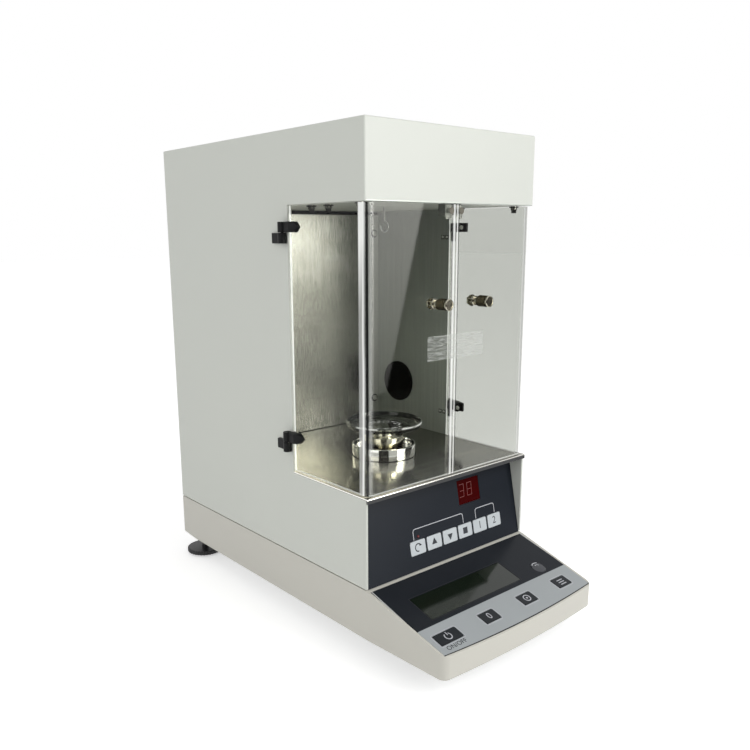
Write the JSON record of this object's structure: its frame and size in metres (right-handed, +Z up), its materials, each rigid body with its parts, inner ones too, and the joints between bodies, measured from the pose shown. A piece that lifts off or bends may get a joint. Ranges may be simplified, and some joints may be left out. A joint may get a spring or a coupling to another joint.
{
  "type": "surface tensiometer",
  "caption": "Surface tensiometer: steel housing with a weighing chamber behind two wraparound clear doors, a motor-driven stage with a glass dish, a keypad panel and a sloping console.",
  "frame": {"origin": "on the bench, under the middle of the whole instrument", "axes": "+X to the user's right as they face the doors, +Y to the back, +Z up"},
  "size_m": [0.2316, 0.4412, 0.4685],
  "materials": {
    "case_paint": "fine texture satin",
    "base_plastic": "moulded satin",
    "clear_acrylic": "clear polished",
    "stainless": "brushed",
    "steel_plate": "zinc plated",
    "black_metal": "satin black",
    "knob_metal": "knurled dark nickel",
    "strike_steel": "light plate",
    "rubber_black": "matte",
    "foot_plastic": "matte ribbed",
    "navy_overlay": "printed film",
    "console_film": "printed film",
    "light_key": "satin",
    "dark_key": "satin",
    "red_window": "tinted clear",
    "display": "glass faced",
    "lcd_glass": "tinted clear",
    "circuit_board": "coated",
    "level_vial": "clear",
    "chrome": "polished",
    "brass": "turned, nickelled",
    "glass": "clear",
    "aluminium": "machined",
    "motor_black": "satin",
    "black_plastic": "satin",
    "screw_steel": "plated",
    "core_steel": "laminated, varnished"
  },
  "bodies": {
    "case": {"base_shell": "base_plastic", "base_plate": "steel_plate", "front_feet": "rubber_black", "housing_cover": "case_paint", "port_plug": "black_plastic", "rear_panel": "case_paint", "power_inlet": "black_plastic", "serial_port": "screw_steel", "chamber_floor": "stainless", "chamber_back_wall": "stainless", "chamber_ceiling": "case_paint", "keypad_overlay": "navy_overlay", "keypad_plate": "steel_plate", "keypad_board": "circuit_board", "led_window": "red_window", "led_display": "display", "console_overlay": "console_film", "lcd_window": "lcd_glass", "lcd_module": "display", "console_board": "circuit_board", "spirit_level": "level_vial", "hinge_brackets": "black_metal", "catch_magnets": "black_metal", "stage_cup": "chrome", "lift_frame": "aluminium", "guide_rods": "screw_steel", "lift_motor": "motor_black", "weigh_cell": "aluminium", "main_board": "circuit_board", "transformer": "core_steel", "case_screws": "screw_steel"},
    "left_door": {"left_door_pane": "clear_acrylic", "left_door_knob": "knob_metal", "left_door_leaves": "black_metal", "left_strike_plate": "strike_steel"},
    "right_door": {"right_door_pane": "clear_acrylic", "right_door_knob": "knob_metal", "right_door_leaves": "black_metal", "right_strike_plate": "strike_steel"},
    "stage": {"stage_carriage": "aluminium", "stage_platform": "brass"},
    "dish": {"glass_dish": "glass"},
    "screw": {"lead_screw": "screw_steel"},
    "hanger": {"weigh_beam": "aluminium", "hanger_hook": "screw_steel"},
    "rocker": {"power_rocker": "black_plastic"},
    "left_foot": {"left_foot_pad": "rubber_black"},
    "left_wheel": {"left_foot_wheel": "foot_plastic"},
    "right_foot": {"right_foot_pad": "rubber_black"},
    "right_wheel": {"right_foot_wheel": "foot_plastic"},
    "auto_key": {"auto_key": "light_key"},
    "up_key": {"up_key": "light_key"},
    "down_key": {"down_key": "light_key"},
    "stop_key": {"stop_key": "light_key"},
    "set_one_key": {"set_one_key": "light_key"},
    "set_two_key": {"set_two_key": "light_key"},
    "power_key": {"power_key": "dark_key"},
    "tare_key": {"tare_key": "dark_key"},
    "adjust_key": {"adjust_key": "dark_key"},
    "mode_key": {"mode_key": "dark_key"}
  },
  "joints": [
    {"name": "left_door_hinge", "type": "hinge", "parent": "case", "child": "left_door", "pos_m": [-0.1118, -0.0144, 0.2867], "axis": [0, 0, 1], "range_deg": [-110, 0]},
    {"name": "right_door_hinge", "type": "hinge", "parent": "case", "child": "right_door", "pos_m": [0.1118, -0.0144, 0.2867], "axis": [0, 0, 1], "range_deg": [0, 110]},
    {"name": "stage_lift", "type": "slide", "parent": "case", "child": "stage", "axis": [0, 0, 1], "range_m": [0, 0.025]},
    {"name": "dish_lift_off", "type": "slide", "parent": "stage", "child": "dish", "axis": [0, 0, 1], "range_m": [0, 0.04]},
    {"name": "lead_screw_turn", "type": "hinge", "parent": "case", "child": "screw", "pos_m": [0, -0.0279, 0.1], "axis": [0, 0, 1], "range_deg": [-5, 1135]},
    {"name": "hanger_give", "type": "slide", "parent": "case", "child": "hanger", "axis": [0, 0, 1], "range_m": [-0.0005, 0.0005], "stiffness_N_per_m": 5000, "springref_m": 0.00006},
    {"name": "auto_key_press", "type": "slide", "parent": "case", "child": "auto_key", "axis": [0, 0.9803, -0.1977], "range_m": [0, 0.0004], "stiffness_N_per_m": 800, "springref_m": -0.0002},
    {"name": "up_key_press", "type": "slide", "parent": "case", "child": "up_key", "axis": [0, 0.9803, -0.1977], "range_m": [0, 0.0004], "stiffness_N_per_m": 800, "springref_m": -0.0002},
    {"name": "down_key_press", "type": "slide", "parent": "case", "child": "down_key", "axis": [0, 0.9803, -0.1977], "range_m": [0, 0.0004], "stiffness_N_per_m": 800, "springref_m": -0.0002},
    {"name": "stop_key_press", "type": "slide", "parent": "case", "child": "stop_key", "axis": [0, 0.9803, -0.1977], "range_m": [0, 0.0004], "stiffness_N_per_m": 800, "springref_m": -0.0002},
    {"name": "set_one_key_press", "type": "slide", "parent": "case", "child": "set_one_key", "axis": [0, 0.9803, -0.1977], "range_m": [0, 0.0004], "stiffness_N_per_m": 800, "springref_m": -0.0002},
    {"name": "set_two_key_press", "type": "slide", "parent": "case", "child": "set_two_key", "axis": [0, 0.9803, -0.1977], "range_m": [0, 0.0004], "stiffness_N_per_m": 800, "springref_m": -0.0002},
    {"name": "power_key_press", "type": "slide", "parent": "case", "child": "power_key", "axis": [0, 0.2689, -0.9632], "range_m": [0, 0.0004], "stiffness_N_per_m": 800, "springref_m": -0.0002},
    {"name": "tare_key_press", "type": "slide", "parent": "case", "child": "tare_key", "axis": [0, 0.2689, -0.9632], "range_m": [0, 0.0004], "stiffness_N_per_m": 800, "springref_m": -0.0002},
    {"name": "adjust_key_press", "type": "slide", "parent": "case", "child": "adjust_key", "axis": [0, 0.2689, -0.9632], "range_m": [0, 0.0004], "stiffness_N_per_m": 800, "springref_m": -0.0002},
    {"name": "mode_key_press", "type": "slide", "parent": "case", "child": "mode_key", "axis": [0, 0.2689, -0.9632], "range_m": [0, 0.0004], "stiffness_N_per_m": 800, "springref_m": -0.0002},
    {"name": "power_rocker_tip", "type": "hinge", "parent": "case", "child": "rocker", "pos_m": [-0.034, 0.2168, 0.104], "axis": [1, 0, 0], "range_deg": [0, 15]},
    {"name": "left_foot_height", "type": "slide", "parent": "case", "child": "left_foot", "axis": [0, 0, 1], "range_m": [-0.0052, 0.0042]},
    {"name": "left_wheel_turn", "type": "hinge", "parent": "left_foot", "child": "left_wheel", "pos_m": [-0.0925, 0.1956, 0.005], "axis": [0, 0, 1], "range_deg": [-1440, 1150]},
    {"name": "right_foot_height", "type": "slide", "parent": "case", "child": "right_foot", "axis": [0, 0, 1], "range_m": [-0.0052, 0.0042]},
    {"name": "right_wheel_turn", "type": "hinge", "parent": "right_foot", "child": "right_wheel", "pos_m": [0.0925, 0.1956, 0.005], "axis": [0, 0, 1], "range_deg": [-1440, 1150]}
  ],
  "couplings": [
    {"joint": "lead_screw_turn", "follows": "stage_lift", "rad_per_m": 785.4}
  ]
}
